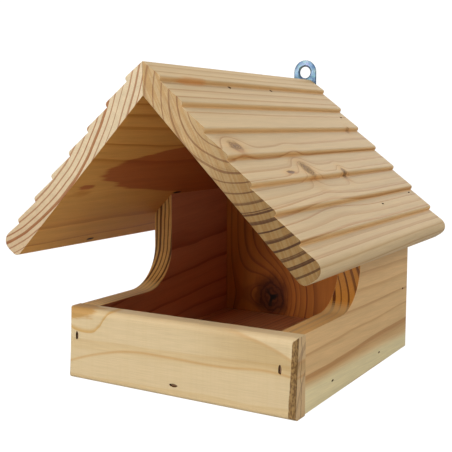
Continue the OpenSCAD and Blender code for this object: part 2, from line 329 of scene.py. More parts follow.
def softwood(name, pith, grain, across, ring, wander, pale, late, end_pale, end_late, knots=(), seed=0.0,
             ends=None, crisp=(0.25, 0.8), streaky=0.3):
    """The figure and colour of one planed board, cut from a log whose pith passes through a point.

    The end colours show where the grain is cut across, or as `ends` says: a direction, and how far a
    face turns towards it for them to begin and to be full. There each ring is dark from the first
    share of its growth in `crisp` on, and fully so at the second.
    Each knot has its place on the face, its size along and across the grain, how far it pushes the
    rings aside, the colour of its core, how dark it is and how far it has split."""
    material = bpy.data.materials.new(name)
    material.use_nodes = True
    tree = material.node_tree
    place = add(tree, "TexCoord").outputs["Object"]
    along = Vector(grain).normalized()
    side = (Vector(across) - along * along.dot(across)).normalized()
    turn = Matrix((along, side, along.cross(side))).transposed().to_euler()
    log = add(tree, "Mapping", {0: place, 1: pith, 2: turn}, vector_type="TEXTURE").outputs[0]
    swell = 0.0
    marks = []
    for number, each in enumerate(knots):
        spot = add(tree, "Mapping", {0: place, 1: each["place"], 2: turn, 3: (*each["size"], 1.0)},
                   vector_type="TEXTURE").outputs[0]
        knot = add(tree, "Group", node_tree=knot_group)
        tree.links.new(spot, knot.inputs["Place"])
        knot.inputs["Seed"].default_value = seed + number * 1.7
        swell = maths(tree, "ADD", product(tree, knot.outputs["Swell"], each["push"]), swell)
        marks.append((knot.outputs, each))
    rings = add(tree, "Group", node_tree=rings_group)
    tree.links.new(log, rings.inputs["Place"])
    if marks:
        tree.links.new(swell, rings.inputs["Swell"])
    rings.inputs["Ring Width"].default_value = ring
    rings.inputs["Wander"].default_value = wander
    rings.inputs["Seed"].default_value = seed
    figure = rings.outputs
    colour = blend(tree, figure["Line"], (*pale, 1), (*late, 1))
    for mark, each in marks:
        halo = product(tree, mark["Swell"], each["dark"])
        colour = blend(tree, halo, colour, (*HALO_TINT, 1), "MULTIPLY")
        core = product(tree, mark["Core"], each["dark"])
        colour = blend(tree, core, colour, (*each["core"], 1))
        core_rings = product(tree, mark["Core"], mark["Rings"], each["dark"])
        colour = blend(tree, core_rings, colour, (*KNOT_RING_TINT, 1), "MULTIPLY")
        split = product(tree, mark["Crack"], each["split"])
        colour = blend(tree, split, colour, (*SPLIT_COLOUR, 1))
    cut_way, begin, full = ends or (along, *END_FACING)
    square = add(tree, "VectorMath", {0: add(tree, "NewGeometry").outputs["True Normal"], 1: cut_way},
                 operation="DOT_PRODUCT").outputs["Value"]
    end = fade(tree, maths(tree, "ABSOLUTE", square), begin, full)
    contrast = maths(tree, "ADD", product(tree, figure["Tone"], RING_CONTRAST), 1 - RING_CONTRAST)
    cut_rings = product(tree, fade(tree, figure["Growth"], *crisp), contrast)
    end_colour = blend(tree, cut_rings, (*end_pale, 1), (*end_late, 1))
    end_colour = blend(tree, 1.0, end_colour, varied(tree, figure["Pore"], PORE_DEPTH), "MULTIPLY")
    colour = blend(tree, end, colour, end_colour)
    colour = blend(tree, 1.0, colour, varied(tree, figure["Streak"], streaky), "MULTIPLY")
    colour = blend(tree, 1.0, colour, varied(tree, figure["Fibre"], FIBRE_DEPTH), "MULTIPLY")
    return {"material": material, "tree": tree, "place": place, "turn": turn, "figure": figure,
            "end": end, "cut_rings": cut_rings, "colour": colour}


def stain(wood, mask, tint):
    """Multiplies a board's colour by a tint where the mask says."""
    stained = blend(wood["tree"], 1.0, wood["colour"], (*tint, 1), "MULTIPLY")
    wood["colour"] = blend(wood["tree"], mask, wood["colour"], stained)


def cover(wood, mask, colour):
    """Lays a colour over a board's own where the mask says."""
    wood["colour"] = blend(wood["tree"], mask, wood["colour"], (*colour, 1))


RING_RELIEF = 0.15
FIBRE_RELIEF = 0.7
RELIEF_HEIGHT = 0.25 * MM
LATE_WOOD_GLOSS = 0.14
BARE_WOOD_SHINE = 0.15


def seal(wood, roughness=0.6):
    """Joins a board's colour and raised grain to its shader."""
    tree = wood["tree"]
    figure = wood["figure"]
    shader = tree.nodes["Principled BSDF"]
    tree.links.new(wood["colour"], shader.inputs["Base Color"])
    raised = maths(tree, "ADD", product(tree, figure["Line"], RING_RELIEF),
                   product(tree, figure["Fibre"], FIBRE_RELIEF))
    bump = add(tree, "Bump", {"Height": raised, "Strength": 0.35, "Distance": RELIEF_HEIGHT})
    tree.links.new(bump.outputs[0], shader.inputs["Normal"])
    smoothest = roughness - LATE_WOOD_GLOSS
    gloss = add(tree, "MapRange", {0: figure["Line"], 3: roughness, 4: smoothest}).outputs[0]
    tree.links.new(gloss, shader.inputs["Roughness"])
    shader.inputs["Specular IOR Level"].default_value = BARE_WOOD_SHINE
    return wood["material"]


def crown_places(node, outward, crown):
    """The middle of each crown's back, in a CAD node of staples driven in against outward."""
    points = [corner.co.copy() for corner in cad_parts[node].data.vertices]
    points.sort(key=lambda point: point.dot(crown))
    staples = [[points[0]]]
    for point in points[1:]:
        if point.dot(crown) - staples[-1][-1].dot(crown) > CROWN:
            staples.append([])
        staples[-1].append(point)
    places = []
    for staple in staples:
        top = max(point.dot(outward) for point in staple)
        back = [point for point in staple if point.dot(outward) > top - CROWN_FLAT]
        places.append(sum(back, Vector()) / len(back))
    return places


def torn_slots(piece, node, outward, crown, seed, size=CLOSED_SLOT):
    """The ragged slots that the driver tears over each crown: torn fibres, painted dark as shade inside the
    slot.
    """
    outward = Vector(outward).normalized()
    crown = Vector(crown)
    across = outward.cross(crown)
    for number, place in enumerate(crown_places(node, outward, crown)):
        bpy.ops.object.select_all(action="DESELECT")
        bpy.ops.mesh.primitive_cylinder_add(vertices=SLOT_SIDES, radius=0.5, depth=1.0,
                                            location=(0, 0, SLOT_LIFT))
        plug = bpy.context.object
        settle()
        bpy.ops.object.mode_set(mode="EDIT")
        bpy.ops.mesh.select_all(action="SELECT")
        bpy.ops.transform.vertex_random(offset=SLOT_RAGGED, seed=seed + number)
        bpy.ops.object.mode_set(mode="OBJECT")
        plug.data.materials.append(shaded_torn_wood)
        axes = Matrix((crown * size[0], across * size[1], outward * SLOT_REACH))
        plug.matrix_world = Matrix.Translation(place) @ axes.transposed().to_4x4()
        settle()
        cut_away(piece, plug)


# The slot faces' colour: torn fibres, darkened as painted shade for the inside of the slots.
SHADED_CRUSHED_FIBRE = (0.05, 0.014, 0.002, 1)
SPLINTERED_FIBRE = (0.3, 0.115, 0.022, 1)
SHRED_COUNT = (900, 900, 900)
SHRED_EDGE = (0.4, 0.75)
SHRED_HEIGHT = 0.4 * MM
shaded_torn_wood = bpy.data.materials.new("torn_slot")
shaded_torn_wood.use_nodes = True
tree = shaded_torn_wood.node_tree
torn_shader = tree.nodes["Principled BSDF"].inputs
shreds = speckle(tree, add(tree, "TexCoord").outputs["Object"], SHRED_COUNT, 3.0)
torn_colour = blend(tree, fade(tree, shreds, *SHRED_EDGE), SHADED_CRUSHED_FIBRE, SPLINTERED_FIBRE)
tree.links.new(torn_colour, torn_shader["Base Color"])
torn_shader["Roughness"].default_value = 0.9
torn_shader["Specular IOR Level"].default_value = 0.1
torn_bump = add(tree, "Bump", {"Height": shreds, "Strength": 0.6, "Distance": SHRED_HEIGHT})
tree.links.new(torn_bump.outputs[0], torn_shader["Normal"])


def side_board(name, outward):
    """One side: sawn to the roof's slope, notched and eased."""
    low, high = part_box(name)
    board = block(name + "_pine", low, high)
    slope = (outward * math.sin(ROOF_PITCH), 0, math.cos(ROOF_PITCH))
    saw(board, (0, 0, apex_height), slope)
    notch = block("notch_cutter", (low[0] - MARGIN, low[1] - NOTCH_CLEARANCE, front_top_z),
                  (high[0] + MARGIN, front_face_y + NOTCH_DEPTH, high[2] + NOTCH_HEADROOM))
    bpy.ops.object.mode_set(mode="EDIT")
    pick(notch, "EDGE", lambda co: co.y > front_face_y + NOTCH_DEPTH / 2 and co.z < front_top_z + MARGIN)
    bpy.ops.mesh.bevel(offset=NOTCH_RADIUS, segments=NOTCH_SEGMENTS, profile=0.5)
    bpy.ops.object.mode_set(mode="OBJECT")
    cut_away(board, notch)
    ease_edges(board)
    return board


INNER_FACE = (0.6, 0.95)
LEVEL_FACE = (0.8, 0.97)
TOP_LIGHT_SHARE = 0.65


def shade_inner_face(wood, inward, heart):
    """Painted shade: darker red-brown colour on the face that looks into the box, for the shade inside it.
    """
    stain(wood, facing(wood["tree"], inward, *INNER_FACE), heart)


def paint_top_light(wood, tan):
    """Painted light and shade on the level top of the low wall: a set colour laid over the grain, so its
    rings show fainter.
    """
    cover(wood, product(wood["tree"], facing(wood["tree"], (0, 0, 1), *LEVEL_FACE), TOP_LIGHT_SHARE), tan)


right_side = side_board("right_side_board", 1)
right_wood = softwood(
    "right_side_pine", pith=(-0.1, 0.0, -0.03), grain=(0.012, 1, -0.055), across=(0, 0, 1), ring=4.6 * MM,
    wander=3 * MM, pale=(0.69, 0.45, 0.21), late=(0.49, 0.25, 0.085), end_pale=(0.39, 0.155, 0.024),
    end_late=(0.08, 0.018, 0.003), seed=3.0, ends=NOTCH_ENDS, crisp=(0.05, 0.3))
tree = right_wood["tree"]
SAP_TOP = (0.02, 0.012)
SAP_RISE = 0.03
SAP_WAVER = 0.005
SAP_TINT = (1.22, 1.6, 2.0)
SAP_EDGE_COUNT = (0, 9, 30)
uneven = speckle(tree, right_wood["place"], SAP_EDGE_COUNT, 1.0)
axes = add(tree, "SeparateXYZ", {0: right_wood["place"]}).outputs
height = maths(tree, "ADD", axes[2], product(tree, axes[1], SAP_RISE))
height = maths(tree, "ADD", height, product(tree, uneven, SAP_WAVER))
stain(right_wood, fade(tree, height, *SAP_TOP), SAP_TINT)
# Darker colour on the level top of the right low wall: painted shadow of the roof.
paint_top_light(right_wood, (0.45, 0.29, 0.12))
# Painted shade on the inner face of the right side.
shade_inner_face(right_wood, (-1, 0, 0), (0.7, 0.32, 0.3))
right_side.data.materials.append(seal(right_wood))
torn_slots(right_side, "right_floor_staples", (1, 0, 0), (0, 1, 0), 11)
torn_slots(right_side, "right_back_staple", (1, 0, 0), (0, 1, 0), 13)

left_side = side_board("left_side_board", -1)
left_wood = softwood(
    "left_side_pine", pith=(-0.35, 0.0, 0.10), grain=(0.0, 1, 0.10), across=(0, 0, 1), ring=3.3 * MM,
    wander=5 * MM, pale=(0.62, 0.40, 0.19), late=(0.36, 0.16, 0.07), end_pale=(0.66, 0.35, 0.1),
    end_late=(0.1, 0.03, 0.006), seed=7.0, ends=NOTCH_ENDS, crisp=(0.04, 0.2))
# Paler colour on the level top of the left low wall: painted light.
paint_top_light(left_wood, (0.8, 0.53, 0.21))
# Painted shade on the inner face of the left side.
shade_inner_face(left_wood, (1, 0, 0), (0.88, 0.58, 0.6))
left_side.data.materials.append(seal(left_wood))
torn_slots(left_side, "left_floor_staples", (-1, 0, 0), (0, 1, 0), 17)
torn_slots(left_side, "left_back_staple", (-1, 0, 0), (0, 1, 0), 19)

for board, node in ((right_side, "right_side_board"), (left_side, "left_side_board")):
    finish_faces(board)
    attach(board, "root")
    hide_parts(node)


# ---- Back board ---------------------------------------------------------------------------
# The 15 mm gable between the sides, sawn to both slopes of the roof, with its grain upright. A red
# knot with a star-shaped crack sits low on its left. Its colours are dark red-brown as painted shade
# for the inside of the box; its outer face is tinted back to paler plain wood.
BACK_KNOT = (-0.0236, 0.078, 0.0284)
KNOT_SHADE_REACH = (0.024, 0.02, 1.0)
KNOT_SHADE = (0.5, 0.42, 0.4)
OUTER_TINT = (1.2, 2.2, 6.0)
OUTER_FACE = (0.3, 0.8)
low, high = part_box("back_board")
back = block("back_board_pine", low, high)
saw(back, (0, 0, apex_height), (math.sin(ROOF_PITCH), 0, math.cos(ROOF_PITCH)))
saw(back, (0, 0, apex_height), (-math.sin(ROOF_PITCH), 0, math.cos(ROOF_PITCH)))
ease_edges(back)
# Dark red-brown colours: painted shade for the inside of the box.
back_wood = softwood(
    "back_pine", pith=(0.022, 0.135, 0.0), grain=(0.02, 0, 1), across=(1, 0, 0), ring=5.2 * MM,
    wander=4 * MM, pale=(0.51, 0.178, 0.031), late=(0.2, 0.052, 0.011), end_pale=(0.55, 0.36, 0.16),
    end_late=(0.3, 0.15, 0.06), seed=5.0,
    knots=({"place": BACK_KNOT, "size": (0.0155, 0.0135), "push": 0.028,
            "core": (0.2, 0.05, 0.012), "dark": 0.75, "split": 1.0},))
tree = back_wood["tree"]
around_knot = patch(tree, back_wood["place"], BACK_KNOT, back_wood["turn"], KNOT_SHADE_REACH, 0.3)
stain(back_wood, around_knot, KNOT_SHADE)
stain(back_wood, facing(tree, (0, 1, 0), *OUTER_FACE), OUTER_TINT)
back.data.materials.append(seal(back_wood))
torn_slots(back, "back_floor_staple", (0, 1, 0), (1, 0, 0), 23)
finish_faces(back)
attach(back, "root")
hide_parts("back_board")


# ---- Floor board --------------------------------------------------------------------------
# A 15 mm board let in between the four uprights, flush with their lower edges, with its grain
# running front to back.
low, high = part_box("floor_board")
floor_board = block("floor_board_pine", low, high)
ease_edges(floor_board)
# Darker, redder colours than the sides': painted shade for the inside of the box.
floor_wood = softwood(
    "floor_pine", pith=(0.055, 0.0, -0.045), grain=(0.03, 1, 0), across=(1, 0, 0), ring=3.1 * MM,
    wander=5 * MM, pale=(0.62, 0.29, 0.13), late=(0.36, 0.135, 0.055), end_pale=(0.5, 0.33, 0.15),
    end_late=(0.3, 0.15, 0.06), seed=9.0)
floor_board.data.materials.append(seal(floor_wood))
finish_faces(floor_board)
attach(floor_board, "root")
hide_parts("floor_board")


# ---- Front board --------------------------------------------------------------------------
# A 12 mm board across the front with its face rounded over along the top and both ends. It is
# the palest board: creamy sapwood, one wavy ring line, and a knot's swirl at its upper left.
FRONT_ROUND = 4.5 * MM
FRONT_LOW_ROUND = 2.5 * MM
ROUND_STARTS = 10 * MM
NEAR = 0.1 * MM
SLIVER = 0.005 * MM
low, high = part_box("front_board")
front = block("front_board_pine", low, high)
bpy.ops.object.mode_set(mode="EDIT")
pick(front, "EDGE", lambda co: co.y < low[1] + MARGIN and co.z < low[2] + MARGIN)
bpy.ops.mesh.bevel(offset=FRONT_LOW_ROUND, segments=6, profile=0.5)


def round_over(co):
    """The upper edge and the two ends of the front board's face."""
    at_end = co.x < low[0] + NEAR or co.x > high[0] - NEAR
    return co.y < low[1] + NEAR and (at_end or co.z > high[2] - NEAR)


pick(front, "EDGE", round_over)
mesh = bmesh.from_edit_mesh(front.data)
for edge in mesh.edges:
    if edge.select and all(corner.co.z < low[2] + ROUND_STARTS for corner in edge.verts):
        edge.select_set(False)
bmesh.update_edit_mesh(front.data)
bpy.ops.mesh.bevel(offset=FRONT_ROUND, segments=8, profile=0.5)
bpy.ops.object.mode_set(mode="OBJECT")
ease_edges(front)

# Where the two rounds meet at the lower corners they leave faces of no area, which are dissolved.
only(front)
bpy.ops.object.mode_set(mode="EDIT")
bpy.ops.mesh.select_all(action="SELECT")
bpy.ops.mesh.dissolve_degenerate(threshold=SLIVER)
bpy.ops.object.mode_set(mode="OBJECT")
front_wood = softwood(
    "front_pine", pith=(0.0, -0.023, -0.022), grain=(1, 0, 0.02), across=(0, 0, 1), ring=13 * MM,
    wander=9 * MM, pale=(0.525, 0.405, 0.235), late=(0.5, 0.365, 0.19), end_pale=(0.5, 0.38, 0.24),
    end_late=(0.36, 0.26, 0.16), seed=1.3, streaky=0.12)
tree = front_wood["tree"]
across = add(tree, "SeparateXYZ", {0: front_wood["place"]}).outputs
share = add(tree, "MapRange", {0: across[0], 1: low[0], 2: high[0]}).outputs[0]


def above_line(heights):
    """How far above a ring line each point lies, from the line's heights along the board."""
    vein = add(tree, "FloatCurve", {1: share})
    curve = vein.mapping.curves[0]
    curve.points[0].location = heights[0]
    curve.points[1].location = heights[-1]
    for along, up in heights[1:-1]:
        curve.points.new(along, up)
    vein.mapping.update()
    return maths(tree, "SUBTRACT", maths(tree, "DIVIDE", across[2], high[2]), vein.outputs[0])


def band(line, below, above):
    """1 along a ring line, fading out as far below and above it as shares of the board's height."""
    return product(tree, fade(tree, line, below, 0.0), fade(tree, line, above, 0.0))


LONG_LINE = ((0, 0.24), (0.18, 0.43), (0.31, 0.51), (0.48, 0.52), (0.7, 0.515), (0.9, 0.56), (1, 0.52))
RIGHT_LINE = ((0, 1), (0.7, 1), (0.8, 0.95), (0.9, 0.86), (1, 0.7))
LEFT_LINE = ((0, 0.73), (0.1, 0.68), (0.15, 0.765), (0.18, 0.895), (0.22, 1), (1, 1))
TAN = (0.8, 0.72, 0.56)
TAN_STRENGTH = 0.75
TAN_ABOVE_LONG = (-0.02, 0.1)
TAN_BELOW_RIGHT = (0.02, -0.04)
TAN_FROM = (0.5, 0.9)
LONG_LINE_TINT = (0.86, 0.7, 0.48)
LONG_LINE_STRENGTH = 0.75
LONG_LINE_SPREAD = (-0.035, 0.03)
RIGHT_LINE_TINT = (0.88, 0.7, 0.48)
RIGHT_LINE_STRENGTH = 0.6
RIGHT_LINE_SPREAD = (-0.05, 0.025)
RIGHT_LINE_FROM = (0.68, 0.8)
LEFT_LINE_TINT = (0.84, 0.66, 0.36)
LEFT_LINE_STRENGTH = 0.9
LEFT_LINE_SPREAD = (-0.02, 0.07)
LEFT_LINE_TO = (0.24, 0.2)
GOLD_PLACE = (-0.073, -0.09, 0.044)
GOLD_REACH = (0.018, 0.006, 0.02)
GOLD = (0.8, 0.58, 0.28)
GOLD_STRENGTH = 0.9
PLANER_COUNT = (520, 8, 25)
PLANER_EDGE = (0.4, 0.7)
PLANER_TINT = (0.985, 0.98, 0.965)
long_line = above_line(LONG_LINE)
right_line = above_line(RIGHT_LINE)
left_line = above_line(LEFT_LINE)
tan_zone = product(tree, fade(tree, long_line, *TAN_ABOVE_LONG), fade(tree, right_line, *TAN_BELOW_RIGHT))
stain(front_wood, product(tree, tan_zone, fade(tree, share, *TAN_FROM), TAN_STRENGTH), TAN)
long_band = band(long_line, *LONG_LINE_SPREAD)
stain(front_wood, product(tree, long_band, LONG_LINE_STRENGTH), LONG_LINE_TINT)
right_band = product(tree, band(right_line, *RIGHT_LINE_SPREAD), fade(tree, share, *RIGHT_LINE_FROM))
stain(front_wood, product(tree, right_band, RIGHT_LINE_STRENGTH), RIGHT_LINE_TINT)
left_band = product(tree, band(left_line, *LEFT_LINE_SPREAD), fade(tree, share, *LEFT_LINE_TO))
stain(front_wood, product(tree, left_band, LEFT_LINE_STRENGTH), LEFT_LINE_TINT)
gold = patch(tree, front_wood["place"], GOLD_PLACE, front_wood["turn"], GOLD_REACH, 0.7)
stain(front_wood, product(tree, gold, GOLD_STRENGTH), GOLD)
planer_marks = speckle(tree, front_wood["place"], PLANER_COUNT, 1.0)
stain(front_wood, fade(tree, planer_marks, *PLANER_EDGE), PLANER_TINT)

# The right end: end grain with one wavy crack, and a strip of torn fibres round its front corner.
CRACK_DEPTH = 3 * MM
CRACK_WAVER = 8 * MM
CRACK_HALF_WIDTH = (0.5 * MM, 0.1 * MM)
CRACK_COUNT = (0, 0, 60)
CRACK_TINT = (0.35, 0.27, 0.2)
CRACK_STRENGTH = 0.9
END_TINT = (1.24, 1.12, 0.92)
END_FACE = (0.8, 0.95)
FLAT_END = (0.97, 0.995)
CORNER_WAY = (0.707, -0.707, 0)
CORNER_FACE = (0.5, 0.6)
TORN_WIDTH = 4.2 * MM
TORN_LEAN = 0.05
TORN_WAVER = 1 * MM
TORN_EDGE = 0.2 * MM
TORN_COUNT = (250, 250, 250)
TORN_STRENGTH = 0.92
TUFT_COUNT = (1300, 1300, 500)
TUFT_EDGE = (0.4, 0.62)
DARK_FIBRE = (0.11, 0.05, 0.012, 1)
PALE_FIBRE = (0.27, 0.155, 0.05, 1)
wave = product(tree, speckle(tree, front_wood["place"], CRACK_COUNT), CRACK_WAVER)
crack = maths(tree, "SUBTRACT", maths(tree, "SUBTRACT", across[1], wave), low[1] + CRACK_DEPTH)
crack = fade(tree, maths(tree, "ABSOLUTE", crack), *CRACK_HALF_WIDTH)
right_end = facing(tree, (1, 0, 0), *END_FACE)
stain(front_wood, product(tree, crack, right_end, CRACK_STRENGTH), CRACK_TINT)
stain(front_wood, right_end, END_TINT)
tufts = fade(tree, speckle(tree, front_wood["place"], TUFT_COUNT, 3.0), *TUFT_EDGE)
ragged = product(tree, speckle(tree, front_wood["place"], TORN_COUNT, 3.0), TORN_WAVER)
from_end = maths(tree, "ADD", maths(tree, "ADD", across[0], ragged), TORN_WIDTH)
from_end = maths(tree, "SUBTRACT", from_end, high[0])
torn = maths(tree, "SUBTRACT", from_end, product(tree, across[2], TORN_LEAN))
torn = fade(tree, torn, -TORN_EDGE, TORN_EDGE)
off_the_end = maths(tree, "SUBTRACT", 1.0, facing(tree, (1, 0, 0), *FLAT_END))
torn = product(tree, torn, off_the_end, facing(tree, CORNER_WAY, *CORNER_FACE), TORN_STRENGTH)
front_wood["colour"] = blend(tree, torn, front_wood["colour"], blend(tree, tufts, DARK_FIBRE, PALE_FIBRE))
front.data.materials.append(seal(front_wood, 0.55))
torn_slots(front, "left_front_staple", (0, -1, 0), (0, 0, 1), 29, SLOT)
torn_slots(front, "right_front_staple", (0, -1, 0), (0, 0, 1), 31, SLOT)
torn_slots(front, "front_floor_staple", (0, -1, 0), (1, 0, 0), 37, SLOT)
finish_faces(front)
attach(front, "root")
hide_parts("front_board")


# ---- Roof boards --------------------------------------------------------------------------
# Two boards milled along the grain into seven stepped courses, like shingles, mitred together at
# the ridge and rounded at the eave. They are stapled to the back, the sides and each other.
RIDGE_T = 13.2 * MM
VALLEY_T = 13.3 * MM
STEP = 2.6 * MM
STEPS = 7
COURSE = 19.7 * MM
FIRST_VALLEY = 2.3 * MM
NOSE_LEAN = 0.45 * MM
NOSE_RADIUS = 1.8 * MM
SLOPE_LENGTH = 140.4 * MM
EAVE_T = 16.6 * MM
EAVE_LEAN = 3.2 * MM
EAVE_TOP_RADIUS = 6 * MM
EAVE_LOW_RADIUS = 4.5 * MM
ROOF_ARRIS = 0.3 * MM
SQUARE_ENOUGH = math.radians(40)
TOUCH = 0.01 * MM


def push_out(board, at, by, drop):
    """Pulls the board's end face on down the slope from `at`, its upper edge moving by `drop` too."""
    pick(board, "FACE", lambda co: abs(co.x - at) < TOUCH)
    bpy.ops.mesh.extrude_region_move(TRANSFORM_OT_translate={"value": (by, 0, 0)})
    pick(board, "VERT", lambda co: abs(co.x - at - by) < TOUCH and co.z > MARGIN)
    bpy.ops.transform.translate(value=(0, 0, drop))


def round_edge(board, at, height, radius, turn, segments):
    """Rounds the edge that runs along the board at a place in its section, between faces `turn` apart."""
    pick(board, "EDGE", lambda co: abs(co.x - at) < TOUCH and abs(co.z - height) < TOUCH)
    reach = radius * (1 / math.cos(turn / 2) - 1) / ((2 - math.sqrt(2)) * math.sin(turn / 2))
    bpy.ops.mesh.bevel(offset=reach, segments=segments, profile=0.5)


def roof_board(name, side):
    """One roof board, worked lying flat with X down the slope, then laid at its pitch."""
    low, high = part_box(name)
    first_nose = FIRST_VALLEY - NOSE_LEAN
    board = block(name + "_pine", (first_nose, low[1], 0), (FIRST_VALLEY, high[1], VALLEY_T))
    bpy.ops.object.mode_set(mode="EDIT")
    pick(board, "VERT", lambda co: co.x < first_nose + TOUCH and co.z > MARGIN)
    bpy.ops.transform.translate(value=(0, 0, STEP))
    pick(board, "FACE", lambda co: co.x < first_nose + TOUCH)
    bpy.ops.mesh.extrude_region_move(TRANSFORM_OT_translate={"value": (-first_nose, 0, 0)})
    pick(board, "VERT", lambda co: co.x < TOUCH and co.z > MARGIN)
    bpy.ops.transform.translate(value=(-RIDGE_T * math.tan(ROOF_PITCH), 0, RIDGE_T - VALLEY_T - STEP))
    for step in range(1, STEPS):
        valley = FIRST_VALLEY + (step - 1) * COURSE
        push_out(board, valley, COURSE - NOSE_LEAN, STEP)
        push_out(board, valley + COURSE - NOSE_LEAN, NOSE_LEAN, -STEP)
    last_valley = FIRST_VALLEY + (STEPS - 1) * COURSE
    push_out(board, last_valley, SLOPE_LENGTH - last_valley, EAVE_T - VALLEY_T)
    pick(board, "VERT", lambda co: co.x > SLOPE_LENGTH - TOUCH and co.z < MARGIN)
    bpy.ops.transform.translate(value=(-EAVE_LEAN, 0, 0))
    rise = math.atan2(STEP, COURSE - NOSE_LEAN)
    lean = math.atan2(NOSE_LEAN, STEP)
    for step in range(STEPS):
        nose = FIRST_VALLEY + step * COURSE - NOSE_LEAN
        round_edge(board, nose, VALLEY_T + STEP, NOSE_RADIUS, math.pi / 2 + rise - lean, 5)
    eave_rise = math.atan2(EAVE_T - VALLEY_T, SLOPE_LENGTH - last_valley)
    eave_lean = math.atan2(EAVE_LEAN, EAVE_T)
    round_edge(board, SLOPE_LENGTH, EAVE_T, EAVE_TOP_RADIUS, math.pi / 2 + eave_rise + eave_lean, 10)
    round_edge(board, SLOPE_LENGTH - EAVE_LEAN, 0, EAVE_LOW_RADIUS, math.pi / 2 - eave_lean, 8)
    bpy.ops.object.mode_set(mode="OBJECT")
    only(board)
    board.rotation_euler = (0, ROOF_PITCH, 0)
    board.location = (0, 0, apex_height)
    settle()
    board.scale = (side, 1, 1)
    settle()
    bpy.ops.object.mode_set(mode="EDIT")
    bpy.ops.mesh.select_all(action="SELECT")
    bpy.ops.mesh.normals_make_consistent(inside=False)
    bpy.ops.object.mode_set(mode="OBJECT")
    worked(board, "BEVEL", width=ROOF_ARRIS, segments=2, limit_method="ANGLE", angle_limit=SQUARE_ENOUGH)
    return board


def on_slope(side, down, along, up):
    """The place at a distance down the slope, along the ridge and up from the roof's underside."""
    flat = down * math.cos(ROOF_PITCH) + up * math.sin(ROOF_PITCH)
    height = apex_height - down * math.sin(ROOF_PITCH) + up * math.cos(ROOF_PITCH)
    return (side * flat, along, height)


def slope_way(side):
    """The direction down the slope."""
    return (side * math.cos(ROOF_PITCH), 0, -math.sin(ROOF_PITCH))


def roof_up(side):
    """The direction square out of the roof."""
    return (side * math.sin(ROOF_PITCH), 0, math.cos(ROOF_PITCH))


def roof_down(side):
    """The direction square into the box from the roof's underside."""
    return (-side * math.sin(ROOF_PITCH), 0, -math.cos(ROOF_PITCH))


def slope_distance(wood, side):
    """How far down the slope each point of a roof board lies, in metres."""
    tree = wood["tree"]
    reach = add(tree, "VectorMath", {0: wood["place"], 1: slope_way(side)}, operation="DOT_PRODUCT")
    return maths(tree, "ADD", reach.outputs["Value"], apex_height * math.sin(ROOF_PITCH))


FOOT_BEGINS = (0.41, 0.49)
FOOT_ENDS = (0.6, 0.51)
UPWARD_FACE = (-0.2, 0.1)
VALLEY_SHADE = 0.65
VALLEY_SHADE_TINT = (1.1, 0.84, 0.52)


def shade_valleys(wood, side):
    """Painted shade: warmer, browner colour at the foot and the face of each step, where the valleys lie in
    shade.
    """
    tree = wood["tree"]
    steps = maths(tree, "DIVIDE", maths(tree, "SUBTRACT", slope_distance(wood, side), FIRST_VALLEY), COURSE)
    share = maths(tree, "FRACT", maths(tree, "ADD", steps, 0.5))
    foot = product(tree, fade(tree, share, *FOOT_BEGINS), fade(tree, share, *FOOT_ENDS))
    along_grain = maths(tree, "SUBTRACT", 1.0, wood["end"])
    foot = product(tree, foot, facing(tree, roof_up(side), *UPWARD_FACE), along_grain, VALLEY_SHADE)
    stain(wood, foot, VALLEY_SHADE_TINT)


right_roof = roof_board("right_roof_board", 1)
right_roof_wood = softwood(
    "right_roof_pine", pith=on_slope(1, 0.040, 0, 0.041), grain=(0, 1, 0.01), across=slope_way(1),
    ring=5.3 * MM, wander=2.6 * MM, pale=(0.61, 0.445, 0.245), late=(0.38, 0.18, 0.038),
    end_pale=(0.42, 0.29, 0.145), end_late=(0.24, 0.125, 0.055), seed=2.0, crisp=(0.2, 0.7),
    knots=({"place": on_slope(1, 0.053, -0.103, 0.015), "size": (0.006, 0.0042), "push": 0.007,
            "core": (0.31, 0.165, 0.042), "dark": 0.8, "split": 0.35},
           {"place": on_slope(1, 0.074, -0.044, 0.015), "size": (0.0055, 0.0068), "push": 0.010,
            "core": (0.33, 0.185, 0.05), "dark": 0.9, "split": 0.35},
           {"place": on_slope(1, 0.075, -0.0675, 0.015), "size": (0.0045, 0.0015), "push": 0.002,
            "core": (0.2, 0.1, 0.03), "dark": 0.9, "split": 1.0},
           {"place": on_slope(1, 0.080, 0.002, 0.015), "size": (0.003, 0.0042), "push": 0.006,
            "core": (0.3, 0.17, 0.06), "dark": 0.8, "split": 0.6},
           {"place": on_slope(1, 0.042, 0.0725, 0.015), "size": (0.003, 0.0025), "push": 0.0,
            "core": (0.36, 0.19, 0.06), "dark": 0.5, "split": 0.2},
           {"place": on_slope(1, 0.101, -0.052, 0.015), "size": (0.02, 0.008), "push": 0.004,
            "core": (0.3, 0.15, 0.05), "dark": 0.0, "split": 0.0}))
tree = right_roof_wood["tree"]
place = right_roof_wood["place"]
turn = right_roof_wood["turn"]
RESIN_REACH = (0.019, 0.0034, 0.02)
RESIN = (0.56, 0.25, 0.06)
RESIN_STRENGTH = 0.55
AGED_TINT = (0.55, 0.48, 0.35)
AGED_FROM = (0.02, 0.1)
OLD_RING = (0.05, 0.018, 0.004)
OLD_RING_STRENGTH = 0.95
OLD_RING_FROM = (0.05, 0.11)
SAW_SLANT = 0.45
SAW_COUNT = (650, 0, 40)
SAW_EDGE = (0.42, 0.6)
SAW_TINT = (0.9, 0.8, 0.68)
resin = patch(tree, place, on_slope(1, 0.0025, -0.089, 0.0145), turn, RESIN_REACH, 0.5)
cover(right_roof_wood, product(tree, resin, RESIN_STRENGTH), RESIN)
# Painted shade on the underside of the right roof board, inside the box.
shade_inner_face(right_roof_wood, roof_down(1), (0.8, 0.5, 0.3))
